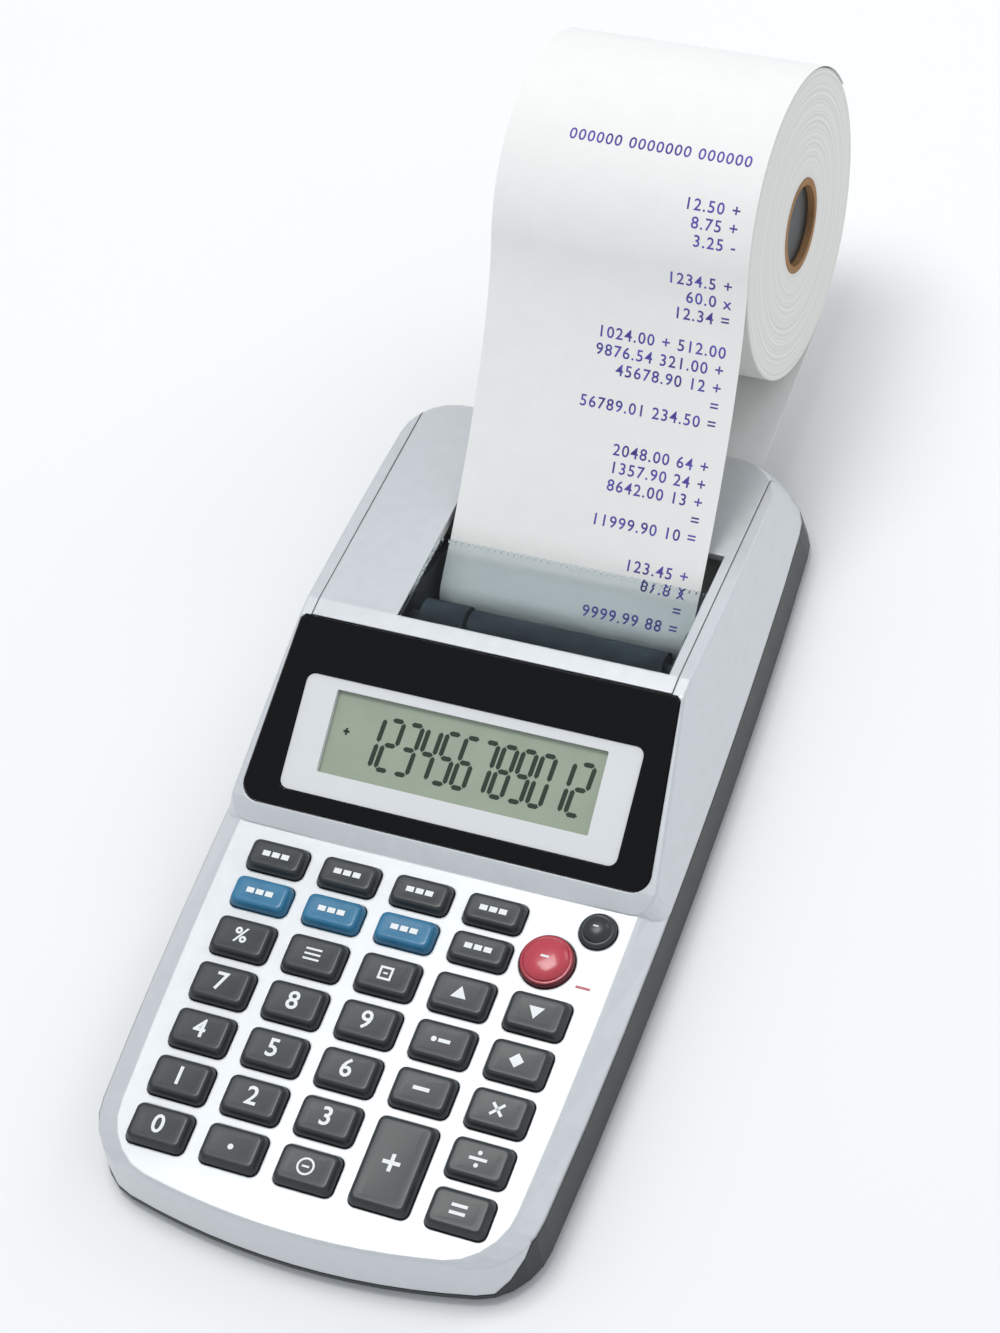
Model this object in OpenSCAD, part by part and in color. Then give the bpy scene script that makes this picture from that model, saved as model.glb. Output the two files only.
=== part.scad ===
// Palm-size printing desk calculator with a paper roll behind it.
// Millimetres. X to the right, Y to the rear, Z up.
// The origin is under the middle of the whole part, roll included, on the surface the feet stand on.
// The modules measure Y from the middle of the case, and placed() moves them to that origin.

/* [Case] */
// Width of the case at its widest
case_w = 102; // [96:1:116]
// Length of the case, front edge to rear edge
case_l = 199; // [190:1:215]
// How far the long sides curve in by the ends
side_bow = 3.2; // [1:0.2:5]
// Radius of the curved front edge in plan
front_r = 166; // [120:2:300]
// Radius of the rear edge in plan
rear_r = 500; // [300:10:900]
// Thickness of the case walls
wall = 2; // [1.6:0.1:2.4]
// Thickness of the case floor
floor_t = 1.8; // [1.4:0.1:2.4]
// Gap between parts that only lie beside each other
gap = 0.25; // [0.15:0.05:0.4]
// Height of the black lower case along the sides
band_z = 12.5; // [11:0.5:13.5]
// Height of the lower case under the front edge
lip_z = 4; // [3.4:0.2:5]

/* [Keyboard] */
// Height of the key deck over the middle of the front key row
deck_z7 = 14.8; // [14:0.2:18]
// Distance from the front edge to the middle of the front key row
deck_front = 16.2; // [15:0.2:20]
// Slope of the key deck, in degrees
deck_tilt = 1; // [0:0.25:2]
// Key pitch across
pitch_x = 16.47; // [15.6:0.1:17]
// Key pitch front to rear in the five front rows
pitch_y = 10.94; // [10.6:0.1:11.6]
// Pitch to the second row from the rear
pitch_r2 = 10.44; // [10.2:0.1:11]
// Pitch to the rear row
pitch_r1 = 8.93; // [8.9:0.1:9.6]
// Width of a key cap
key_w = 12.8; // [11:0.2:13.4]
// Depth of a main key cap
key_d = 8.6; // [7.6:0.2:8.8]
// Depth of a function key cap in the two rear rows
key_low_d = 6.9; // [6:0.1:7]
// Height of the key caps over the deck
key_h = 2.5; // [2:0.1:3]
// Diameter of the round clear key
clear_d = 11.5; // [10:0.5:12]
// Diameter of the small round power key
power_d = 7.7; // [6.5:0.1:8]
// Travel of a key
key_travel = 1.2; // [0.8:0.1:1.4]
// Clearance round a key in its hole
key_gap = 0.3; // [0.2:0.05:0.4]

/* [Display] */
// Height of the lower edge of the display panel
panel_z0 = 18.7; // [18:0.1:19.4]
// Height of the ridge behind the display panel
ridge_z = 34.7; // [33:0.1:37]
// Depth of the sloping display panel in plan
panel_run = 38; // [36:0.5:40]
// Half width of the black panel at its lower edge
panel_half0 = 46.2; // [44:0.2:46.4]
// Half width of the black panel at its upper edge
panel_half1 = 42.8; // [41:0.2:43]
// Thickness of the black panel
bezel_t = 2.2; // [1.8:0.1:2.6]
// Size of the white display window across
window_w = 76.6; // [70:0.2:78]
// Size of the white display window up the slope
window_d = 25.4; // [23:0.2:26]
// Width of the liquid crystal display
lcd_w = 61.4; // [56:0.2:66]
// Height of the liquid crystal display up the slope
lcd_d = 17.8; // [15:0.2:19]

/* [Printer] */
// Width of the paper
paper_w = 57.5; // [56:0.5:58]
// Left edge of the paper
paper_x0 = -21.6; // [-22:0.2:-21]
// Half width of the removable printer cover
cover_half = 40.7; // [39.8:0.1:41]
// Height of the top of the cover at the rear
rear_z = 25.6; // [25:0.1:27]
// Where the paper opening starts, behind the ridge
open_y0 = 33; // [32:0.5:34]
// Where the paper opening ends
open_y1 = 66.5; // [65:0.5:69]
// Rear edge of the clear tear-off window
window_y1 = 56; // [54:0.5:57]
// Radius of the rubber feed roller
feed_r = 5; // [4.6:0.1:5.2]
// Radius of the type drum
drum_r = 4.6; // [4.2:0.1:4.8]
// Radius of the ink roller
ink_r = 4.2; // [3.6:0.1:4.4]
// Radius of the steel shafts
shaft_r = 1.2; // [1:0.1:1.5]
// Radial clearance of a shaft in its bearing
run_gap = 0.05; // [0.02:0.01:0.1]

/* [Paper roll] */
// Radius of the full paper roll
roll_r = 33.6; // [22:0.2:36]
// Outer radius of the cardboard core
core_r = 10.3; // [9.8:0.1:11]
// Inner radius of the cardboard core
core_bore_r = 8.8; // [8:0.1:9.2]
// Distance of the roll's axis behind the case
roll_back = 36.7; // [36.6:0.1:42]
// Height of the roll's axis
roll_z = 54.7; // [52:0.1:60]
// Thickness of the modelled paper
paper_t = 0.2; // [0.1:0.05:0.3]

/* [Power] */
// Diameter of a battery cell
cell_d = 10.5; // [10.2:0.1:10.6]
// Length of a battery cell without its button
cell_l = 43.7; // [43:0.1:44]
// Bore radius of the power inlet
jack_r = 1.8; // [1.75:0.05:2.8]
// Height of the rubber feet below the case
foot_h = 1; // [0.8:0.1:1.4]

/* [Hidden] */
$fn = 48;
y_front = -case_l / 2;
y_rear = case_l / 2;
y_widest = -14;
floor_z = foot_h + floor_t;
y7 = y_front + deck_front;
pod_y0 = -13.4;
panel_y0 = pod_y0 + 4;
ridge_y0 = panel_y0 + panel_run;
ramp_deg = atan2(ridge_z - panel_z0, panel_run);
ramp_l = norm([panel_run, ridge_z - panel_z0]);
cover_t = 2;
cover_y0 = ridge_y0 + gap;
pod_rear_in = 4.4;
cover_y1 = y_rear - pod_rear_in;
skirt_z = 22.4;
skirt_t = 1.9;
open_x0 = paper_x0 - 1;
open_x1 = paper_x0 + paper_w + 2.8;
roll_y = y_rear + roll_back;
roll_x1 = paper_x0 + paper_w;
web_gap = 0.3;

// Key table: name, column 1 to 5 from the left, row 1 (rear) to 7 (front), kind
KEYS = [
    ["key_r1_c1", 1, 1, "low"], ["key_r1_c2", 2, 1, "low"],
    ["key_r1_c3", 3, 1, "low"], ["key_r1_c4", 4, 1, "low"],
    ["key_blue_1", 1, 2, "blue"], ["key_blue_2", 2, 2, "blue"],
    ["key_blue_3", 3, 2, "blue"], ["key_r2_c4", 4, 2, "low"],
    ["key_r3_c1", 1, 3, "std"], ["key_r3_c2", 2, 3, "std"], ["key_r3_c3", 3, 3, "std"],
    ["key_r3_c4", 4, 3, "std"], ["key_r3_c5", 5, 3, "std"],
    ["key_7", 1, 4, "std"], ["key_8", 2, 4, "std"], ["key_9", 3, 4, "std"],
    ["key_r4_c4", 4, 4, "std"], ["key_total", 5, 4, "std"],
    ["key_4", 1, 5, "std"], ["key_5", 2, 5, "std"], ["key_6", 3, 5, "std"],
    ["key_minus", 4, 5, "std"], ["key_times", 5, 5, "std"],
    ["key_1", 1, 6, "std"], ["key_2", 2, 6, "std"], ["key_3", 3, 6, "std"],
    ["key_divide", 5, 6, "std"],
    ["key_0", 1, 7, "std"], ["key_point", 2, 7, "std"], ["key_sign", 3, 7, "std"],
    ["key_plus", 4, 6.5, "tall"], ["key_equals", 5, 7, "std"],
    ["key_clear", 0, 0, "clear"], ["key_power", 0, 0, "power"]
];

// From the middle of the case to the middle of the whole part
y_shift = (roll_y + roll_r + y_front + 0.2) / 2;
module placed() { translate([0, -y_shift, 0]) children(); }

// ---- Outline of the case in plan ----
// Half width of the case at y, inset by the function si(y)
function half_w(y, si) = case_w / 2 - si(y) - side_bow * pow((y - y_widest) / (case_l / 2), 2);
function even(v) = function(y) v;
function front_arc(in) = function(x) y_front + in + x * x / (2 * front_r);
function rear_arc(in) = function(x) y_rear - in - x * x / (2 * rear_r);
// Right half of a closed outline, front centre to rear centre, as [x, y] points.
// fy and ry are the front and rear edges, cf and cr the corner radii,
// and stations the y values between the corners, or none for even steps.
function half_ring(si, fy, ry, cf, cr, stations = []) =
    let (wf = half_w(fy(0) + cf + 3, si), wr = half_w(ry(0) - cr, si),
         ya = fy(wf) + cf, yb = ry(wr) - cr, nf = 6, nc = 5, ns = 8, nr = 4,
         ys = len(stations) > 0 ? stations : [for (j = [1 : ns - 1]) ya + (yb - ya) * j / ns])
    concat(
        [for (i = [0 : nf]) let (x = (wf - cf) * i / nf) [x, fy(x)]],
        [for (k = [1 : nc]) let (a = 90 * k / nc, x = wf - cf + cf * sin(a)) [x, fy(x) + cf * (1 - cos(a))]],
        [for (y = ys) [half_w(y, si), y]],
        [for (k = [0 : nc]) let (a = 90 * (1 - k / nc), x = wr - cr + cr * sin(a))
            [x, ry(x) - cr * (1 - cos(a))]],
        [for (i = [1 : nr]) let (x = (wr - cr) * (1 - i / nr)) [x, ry(x)]]);
// A ring of [x, y, z] points: the right half and its mirror image
function ring(half, zf) = let (n = len(half) - 1) concat(
    [for (p = half) [p[0], p[1], zf(p[1])]],
    [for (i = [n - 1 : -1 : 1]) [-half[i][0], half[i][1], zf(half[i][1])]]);
// A closed solid through mirrored rings, lowest first
module loft(rings) {
    n = len(rings[0]);
    m = n / 2;
    last = (len(rings) - 1) * n;
    function mirror_of(i) = (n - i) % n;
    cap = [for (i = [0 : m - 1]) i == 0 ? [0, 1, n - 1]
        : i == m - 1 ? [i, m, mirror_of(i)] : [i, i + 1, mirror_of(i + 1), mirror_of(i)]];
    sides = [for (r = [0 : len(rings) - 2]) for (i = [0 : n - 1]) let (a = r * n + i, b = r * n + (i + 1) % n)
        each [[a, a + n, b], [b, a + n, b + n]]];
    polyhedron(
        points = [for (r = rings) each r],
        faces = concat(cap, sides, [for (f = cap) [for (i = [len(f) - 1 : -1 : 0]) f[i] + last]]));
}
// A yz outline drawn across the case from x0 to x1
module across(x0, x1, points) {
    translate([x0, 0, 0]) rotate([90, 0, 90]) linear_extrude(x1 - x0) polygon(points);
}
// Corner points of a rounded rectangle about the origin
function rounded(w, d, r, n = 4) = [for (c = [0 : 3]) for (k = [0 : n])
    let (a = 90 * c + 90 * k / n, sx = c == 0 || c == 3 ? 1 : -1, sy = c < 2 ? 1 : -1)
    [sx * (w / 2 - r) + r * cos(a), sy * (d / 2 - r) + r * sin(a)]];
module slab(w, d, r, z0, z1) {
    translate([0, 0, z0]) linear_extrude(z1 - z0) polygon(rounded(w, d, r));
}
// A round bar along x
module bar(x0, x1, r) {
    translate([x0, 0, 0]) rotate([0, 90, 0]) cylinder(r = r, h = x1 - x0);
}

// ---- Case surfaces ----
function deck_z(y) = deck_z7 + tan(deck_tilt) * (y - y7);
corner_f = 11;
corner_r = 10;
deck_side = 5.9;
// Outer body below the deck, which both case halves share
module body_solid() {
    loft([
        ring(half_ring(even(1.6), front_arc(1.6), rear_arc(1.6), corner_f, corner_r), even(foot_h)),
        ring(half_ring(even(0.2), front_arc(0.2), rear_arc(0.2), corner_f, corner_r), even(foot_h + 1.6)),
        ring(half_ring(even(0.7), front_arc(2.2), rear_arc(1), corner_f, corner_r), even(band_z)),
        ring(half_ring(even(deck_side - 0.9), front_arc(2.6), rear_arc(5), corner_f, corner_r),
            function(y) deck_z(y) - 0.5),
        ring(half_ring(even(deck_side), front_arc(3.2), rear_arc(6), corner_f, corner_r),
            function(y) deck_z(y))]);
}
// Hollow inside that body
module body_hollow() {
    w = wall + 0.2;
    loft([
        ring(half_ring(even(w + 0.2), front_arc(w + 0.2), rear_arc(w + 0.2), corner_f - 2, corner_r - 2),
            even(floor_z)),
        ring(half_ring(even(w + 0.7), front_arc(w + 2.2), rear_arc(w + 1), corner_f - 2, corner_r - 2),
            even(band_z)),
        ring(half_ring(even(w + deck_side - 0.9), front_arc(w + 2.8), rear_arc(w + 5), corner_f - 3,
            corner_r - 3), function(y) deck_z(y) - wall)]);
}
// Height of the raised rear part over y
function lift_z(y) = y < panel_y0 ? deck_z(pod_y0) + (panel_z0 - deck_z(pod_y0)) * (y - pod_y0) / (panel_y0 - pod_y0)
    : y < ridge_y0 ? panel_z0 + (ridge_z - panel_z0) * (y - panel_y0) / panel_run
    : ridge_z - (ridge_z - rear_z) * max(0, y - open_y0) / (cover_y1 - open_y0);
// Height of the crease along the side of the raised part
function crease_z(y) = band_z + 1.6 + 5.9 * pow(max(0, y - pod_y0) / (y_rear - pod_y0), 0.6);
// Inset of the top edge of the raised part, which narrows up to the ridge
function top_in(y) = y < ridge_y0 ? 2.8 + 4.1 * max(0, y - panel_y0) / panel_run
    : 6.9 - 2.9 * (y - ridge_y0) / (cover_y1 - ridge_y0);
pod_stations = [for (y = [panel_y0 + 1, 0, 10, 20, ridge_y0, open_y0, 45, 58, 72]) y];
module pod_solid() {
    front = function(x) pod_y0 + x * x / 5000;
    loft([
        ring(half_ring(even(0.75), front, rear_arc(1.2), 4, corner_r, pod_stations), even(band_z)),
        ring(half_ring(function(y) 0.75 + 0.3 * (crease_z(y) - band_z), front, rear_arc(2.2), 4, corner_r,
            pod_stations), function(y) crease_z(y)),
        ring(half_ring(function(y) top_in(y) - 0.1, front, rear_arc(pod_rear_in), 4, corner_r, pod_stations),
            function(y) lift_z(y) - 0.5),
        ring(half_ring(function(y) top_in(y) + 0.3, front, rear_arc(pod_rear_in + 0.6), 4, corner_r,
            pod_stations), function(y) lift_z(y))]);
}
// Depth of the hollow under the top surface: under the panel's seat, or under the cover's ledge
seat_t = 2;
function hollow_z(y) = lift_z(y) - (y < ridge_y0 ? (bezel_t + seat_t) / cos(ramp_deg) + 0.2 : cover_t + 1.6);
module pod_hollow() {
    w = wall;
    front = function(x) pod_y0 + w + 2 + x * x / 5000;
    loft([
        ring(half_ring(even(w + 0.8), front, rear_arc(w + 1.2), 3, corner_r - 2, pod_stations),
            even(band_z - 1)),
        ring(half_ring(function(y) w + 0.75 + 0.3 * (crease_z(y) - band_z), front, rear_arc(w + 2.4), 3,
            corner_r - 2, pod_stations), function(y) min(crease_z(y), hollow_z(y) - 0.6)),
        ring(half_ring(function(y) w + top_in(y), front, rear_arc(w + pod_rear_in), 3, corner_r - 2,
            pod_stations), function(y) hollow_z(y))]);
}
// The parting line between the case halves, shifted by s
function parting(s) = [[y_front - 20, lip_z + s], [y_front + 6.5, lip_z + s], [y_front + 15.5, band_z + s],
    [y_rear + 20, band_z + s]];
module above_parting() {
    across(-case_w, case_w, concat(parting(0), [[y_rear + 20, 90], [y_front - 20, 90]]));
}
module below_parting() {
    across(-case_w, case_w, concat(parting(-gap), [[y_rear + 20, -20], [y_front - 20, -20]]));
}
// Space that the printer cover fills, grown by c
module cover_space(c) {
    across(-cover_half - c, cover_half + c, [
        [cover_y0 - c, 60], [cover_y0 - c, lift_z(cover_y0)],
        [cover_y0 - c + (cover_t + c) * tan(ramp_deg), lift_z(cover_y0) - cover_t - c],
        [open_y0, lift_z(open_y0) - cover_t - c],
        [cover_y1 - skirt_t - c, lift_z(cover_y1) - cover_t - c],
        [cover_y1 - skirt_t + 0.6 - c, skirt_z - c], [y_rear + 20, skirt_z - c], [y_rear + 20, 60]]);
}

// ---- Places that pieces share ----
screw_front_x = case_w / 2 - 7;
screw_rear_x = case_w / 2 - 9;
screw_places = [[-screw_front_x, y7 + 21.4], [screw_front_x, y7 + 21.4],
    [-screw_rear_x, y_rear - 19.5], [screw_rear_x, y_rear - 19.5]];
screw_z = 8;
screw_r = 1.3;
screw_top = 12.6;
foot_places = [[-36, y_front + 19], [36, y_front + 19], [-32, y_rear - 19], [32, y_rear - 19]];
foot_r = 5;
bay_x = 46;
bay_y0 = -4.5;
bay_y1 = bay_y0 + 2 * cell_d + 3;
bay_z = 13.8;
door_axis = [bay_y1 - gap - floor_t / 2, foot_h + floor_t / 2];
bay_wall = 1;
jack_x = 30;
jack_z = 7.4;
jack_face = y_rear - 5.2;
arm_x0 = -28;
arm_x1 = -24.2;
arm_z0 = 4.4;
arm_z1 = 10;
// Printer shafts as [y, z]
module_g = 0.5;
teeth_pinion = 12;
teeth_idler = 30;
teeth_feed = 20;
teeth_drum = 24;
function pitch_r(t) = module_g * t / 2;
feed_at = [52.5, 17.8];
drum_deg = 184;
idler_deg = -21;
drum_at = feed_at + (pitch_r(teeth_feed) + pitch_r(teeth_drum)) * [cos(drum_deg), sin(drum_deg)];
idler_at = feed_at + (pitch_r(teeth_feed) + pitch_r(teeth_idler)) * [cos(idler_deg), sin(idler_deg)];
motor_at = idler_at + (pitch_r(teeth_idler) + pitch_r(teeth_pinion)) * [cos(idler_deg), sin(idler_deg)];
ink_at = [38.6, 26.2];
plate_t = 1.5;
plate_x0 = paper_x0 - 3;
plate_x1 = paper_x0 + paper_w + 1.2;
gear_x0 = plate_x0 - 4;
gear_x1 = plate_x0 - 0.6;

// ---- Case ----
module lower_case() {
    color([0.09, 0.10, 0.10]) difference() {
        union() {
            difference() {
                intersection() { body_solid(); below_parting(); }
                body_hollow();
            }
            for (p = screw_places) translate([p[0], p[1], floor_z - 0.5])
                cylinder(r = 3, h = screw_z - gap - floor_z + 0.5);
            battery_bay();
            translate([jack_x - 6.6, jack_face - 13, floor_z - 0.5]) cube([1.4, 11, 5]);
            translate([jack_x + 5.2, jack_face - 13, floor_z - 0.5]) cube([1.4, 11, 5]);
        }
        for (p = screw_places) translate([p[0], p[1], 0]) {
            cylinder(r = screw_r + 0.25, h = screw_z + 1);
            cylinder(r = 2.9, h = foot_h + 2.6);
        }
        for (p = foot_places) translate([p[0], p[1], 0]) cylinder(r = foot_r + 0.1, h = foot_h + 0.3);
        translate([-bay_x, bay_y0, 0]) cube([2 * bay_x, bay_y1 - bay_y0, floor_z + 0.5]);
        translate([jack_x, y_rear + 5, jack_z]) rotate([90, 0, 0]) cylinder(r = 4.2, h = 12);
        translate([arm_x0 - 0.1, y_rear - 8, arm_z0 - 0.1])
            cube([arm_x1 - arm_x0 + 0.2, 20, arm_z1 - arm_z0 + 0.2]);
    }
}
// Walls and ceiling round the battery cells
module battery_bay() {
    difference() {
        translate([-bay_x - bay_wall, bay_y0 - bay_wall, floor_z - 0.5])
            cube([2 * (bay_x + bay_wall), bay_y1 - bay_y0 + 2 * bay_wall, bay_z + 1 - floor_z + 0.5]);
        translate([-bay_x, bay_y0, 0]) cube([2 * bay_x, bay_y1 - bay_y0, bay_z]);
    }
}
module upper_case() {
    color([0.80, 0.82, 0.84]) difference() {
        union() {
            resize([0, 0, 0]) difference() {
                intersection() {
                    union() { body_solid(); pod_solid(); }
                    above_parting();
                }
                body_hollow();
                pod_hollow();
            }
            for (p = screw_places) translate([p[0], p[1], screw_z])
                cylinder(r = 2.9, h = (p[1] < 0 ? band_z + 1 : crease_z(p[1])) - screw_z);
        }
        for (p = screw_places) translate([p[0], p[1], screw_z - 1])
            cylinder(r = screw_r - 0.05, h = screw_top + 0.3 - screw_z + 1);
        for (k = KEYS) on_key(k) key_hole(k);
        cover_space(gap);
        across(-39.3, 39.3, [[cover_y0 + 2, 60], [cover_y0 + 2, 24], [cover_y1 - 5, 19], [cover_y1 - 5, 60]]);
        // Slot in the rear wall for the paper
        translate([open_x0 - 0.2, cover_y1 - 8, roll_z - roll_r - 2.2])
            cube([open_x1 - open_x0 - 1, 30, 6]);
        on_ramp() {
            translate([0, 0, -bezel_t - gap]) linear_extrude(20) polygon(bezel_outline(gap));
            translate([0, window_v0 + window_d / 2, 0]) slab(window_w - 4, window_d - 1, 1, -12, 2);
        }
    }
}
// ---- Display ----
module on_ramp() {
    translate([0, panel_y0, panel_z0]) rotate([ramp_deg, 0, 0]) children();
}
window_v0 = 4.1;
lcd_v0 = 9.25;
// Outline of the black panel, with round lower corners, grown by c
function bezel_outline(c) =
    let (v0 = 0.3, v1 = ramp_l - 0.2, r = 4, w0 = panel_half0 + c, w1 = panel_half1 + c)
    concat(
        [for (k = [0 : 6]) let (a = 180 + 15 * k) [-w0 + 0.3 + r + r * cos(a), v0 - c + r + r * sin(a)]],
        [for (k = [0 : 6]) let (a = 270 + 15 * k) [w0 - 0.3 - r + r * cos(a), v0 - c + r + r * sin(a)]],
        [[w1, v1 + c - 1], [w1 - 1, v1 + c], [1 - w1, v1 + c], [-w1, v1 + c - 1]]);
module display_bezel() {
    color([0.03, 0.03, 0.03]) on_ramp() difference() {
        translate([0, 0, -bezel_t]) linear_extrude(bezel_t + 0.15) polygon(bezel_outline(0));
        translate([0, window_v0 + window_d / 2, 0]) slab(window_w, window_d, 2, -9, 9);
    }
}
module display_window() {
    color([0.92, 0.93, 0.93]) on_ramp() difference() {
        translate([0, window_v0 + window_d / 2, 0])
            slab(window_w - 0.3, window_d - 0.3, 1.9, -1.5, -0.3);
        translate([0, lcd_v0 + lcd_d / 2, 0]) slab(lcd_w, lcd_d, 0.3, -9, 9);
    }
}
module lcd_cell() {
    color([0.60, 0.65, 0.58]) on_ramp() translate([0, lcd_v0 + lcd_d / 2, 0])
        slab(lcd_w + 5, lcd_d + 2.6, 0.3, -3.8, -1.55);
}

// ---- Keyboard ----
module on_deck() {
    translate([0, y7, deck_z7]) rotate([deck_tilt, 0, 0]) children();
}
function row_v(row) = row >= 3 ? (7 - row) * pitch_y : 4 * pitch_y + pitch_r2 + (row == 1 ? pitch_r1 : 0);
function key_at(k) = k[3] == "clear" ? [2 * pitch_x - 2.3, row_v(2) + 1.6]
    : k[3] == "power" ? [2 * pitch_x + 5.5, row_v(1) + 1.8] : [(k[1] - 3) * pitch_x, row_v(k[2])];
module on_key(k) {
    at = key_at(k);
    on_deck() translate([at[0], at[1], 0]) children();
}
function is_round(k) = k[3] == "clear" || k[3] == "power";
function key_size(k) = k[3] == "clear" ? [clear_d, clear_d] : k[3] == "power" ? [power_d, power_d]
    : [key_w, k[3] == "tall" ? key_d + pitch_y : k[3] == "std" ? key_d : key_low_d];
function key_radius(k) = is_round(k) ? key_size(k)[0] / 2 - 0.01 : 1.5;
module key_hole(k) {
    s = key_size(k);
    if (is_round(k)) translate([0, 0, -10]) cylinder(d = s[0] + 2 * key_gap, h = 20);
    else slab(s[0] + 2 * key_gap, s[1] + 2 * key_gap, key_radius(k) + key_gap, -10, 10);
}
// A key: cap through the deck, retaining flange below it and a stem for the rubber dome
module key(k) {
    s = key_size(k);
    flange_z = -wall - 0.25;
    color(k[3] == "blue" ? [0.16, 0.42, 0.58] : k[3] == "clear" ? [0.72, 0.16, 0.20] : [0.16, 0.18, 0.19])
    on_key(k) {
        if (is_round(k)) {
            translate([0, 0, flange_z - 0.1]) cylinder(d = s[0], h = key_h - 0.9 - flange_z + 0.1);
            translate([0, 0, key_h - 1.1]) cylinder(d1 = s[0], d2 = s[0] * 0.55, h = 1.7);
            translate([0, 0, flange_z - 0.7]) cylinder(d = s[0] + 1.4, h = 0.7);
        } else {
            slab(s[0], s[1], key_radius(k), flange_z - 0.1, key_h - 0.7);
            slab(s[0] - 1, s[1] - 1, key_radius(k) - 0.4, key_h - 0.8, key_h);
            slab(s[0] + 1.4, s[1] + 1.4, key_radius(k), flange_z - 0.7, flange_z);
        }
        translate([0, 0, flange_z - 1.1]) cylinder(r = 1.8, h = 0.5);
    }
}
mat_top = -wall - 0.25 - 1.1 - key_travel - 1.1;
mat_t = 0.8;
board_t = 1.2;
keypad_half = 40.4;
module keypad_sheet(z0, z1) {
    v0 = -key_d / 2 - 3;
    v1 = row_v(1) + 6.2;
    translate([0, (v0 + v1) / 2, 0]) slab(2 * keypad_half, v1 - v0, 4, z0, z1);
}
module key_mat() {
    color([0.75, 0.75, 0.72]) on_deck() {
        keypad_sheet(mat_top - mat_t, mat_top);
        for (k = KEYS) let (at = key_at(k)) translate([at[0], at[1], mat_top - 0.1]) cylinder(r = 2.4, h = 0.85);
    }
}
module circuit_board() {
    color([0.10, 0.36, 0.20]) on_deck() {
        z1 = mat_top - mat_t - 0.05;
        keypad_sheet(z1 - board_t, z1);
    }
}

// ---- Printer ----
module printer_cover() {
    color([0.80, 0.83, 0.85]) difference() {
        intersection() { pod_solid(); cover_space(0); }
        translate([open_x0, open_y0, 10]) cube([open_x1 - open_x0, open_y1 - open_y0, 60]);
    }
}
module tear_window() {
    t = 1.2;
    y0 = open_y0 + 0.15;
    teeth = 40;
    pitch = (open_x1 - open_x0 - 0.3) / teeth;
    color([0.75, 0.80, 0.82, 0.5]) difference() {
        across(open_x0 + 0.15, open_x1 - 0.15, [
            [y0, lift_z(y0) - 0.1 - t], [y0, lift_z(y0) - 0.1],
            [window_y1, lift_z(window_y1) - 0.1], [window_y1 - 1, lift_z(window_y1) - 0.1 - t]]);
        for (i = [0 : teeth - 1]) translate([open_x0 + 0.15 + pitch * i, window_y1 - 0.8, 10])
            linear_extrude(40) polygon([[0.15, 2], [pitch - 0.15, 2], [pitch / 2, 0]]);
    }
}
// Side plate of the printer frame, with its bearing bores
module frame_plate(x0) {
    difference() {
        across(x0, x0 + plate_t, [
            [33.5, floor_z + 0.05], [84, floor_z + 0.05], [84, 14], [72, 17], [60, 23], [56, 24], [46, 29.2],
            [34.5, 29.2], [33.5, 22]]);
        for (p = [feed_at, drum_at, ink_at]) translate([0, p[0], p[1]])
            bar(x0 - 1, x0 + plate_t + 1, shaft_r + run_gap);
        translate([0, motor_at[0], motor_at[1]]) bar(x0 - 1, x0 + plate_t + 1, 2);
    }
}
module printer_frame() {
    color([0.10, 0.11, 0.12]) {
        frame_plate(plate_x0);
        frame_plate(plate_x1);
        translate([plate_x0 + 0.5, 36, floor_z + 0.05]) cube([plate_x1 - plate_x0, 30, 1.2]);
        translate([plate_x0 + 0.5, 34, floor_z + 0.05]) cube([plate_x1 - plate_x0, 1.2, 12]);
        translate([0, idler_at[0], idler_at[1]]) bar(gear_x0 - 0.4, plate_x0 + 0.5, shaft_r);
    }
}
// Trapezoid-flank gear outline: teeth stand pitch +0.9 and -1.15 modules, thinned for backlash
function gear_points(t, turn) =
    let (pr = pitch_r(t), ro = pr + 0.9 * module_g, ri = pr - 1.2 * module_g, step = 360 / t,
         half = 90 / t - 2.4 * 12 / t)
    [for (i = [0 : t - 1]) let (a = turn + i * step) each [
        ri * [cos(a - half * 1.7), sin(a - half * 1.7)],
        pr * [cos(a - half), sin(a - half)],
        ro * [cos(a - half * 0.4), sin(a - half * 0.4)],
        ro * [cos(a + half * 0.4), sin(a + half * 0.4)],
        pr * [cos(a + half), sin(a + half)],
        ri * [cos(a + half * 1.7), sin(a + half * 1.7)]]];
module gear(t, turn, bore_r) {
    across_gear = gear_x1 - gear_x0;
    translate([gear_x0, 0, 0]) rotate([90, 0, 90]) difference() {
        linear_extrude(across_gear) polygon(gear_points(t, turn));
        if (bore_r > 0) translate([0, 0, -1]) cylinder(r = bore_r, h = across_gear + 2);
    }
}
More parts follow.
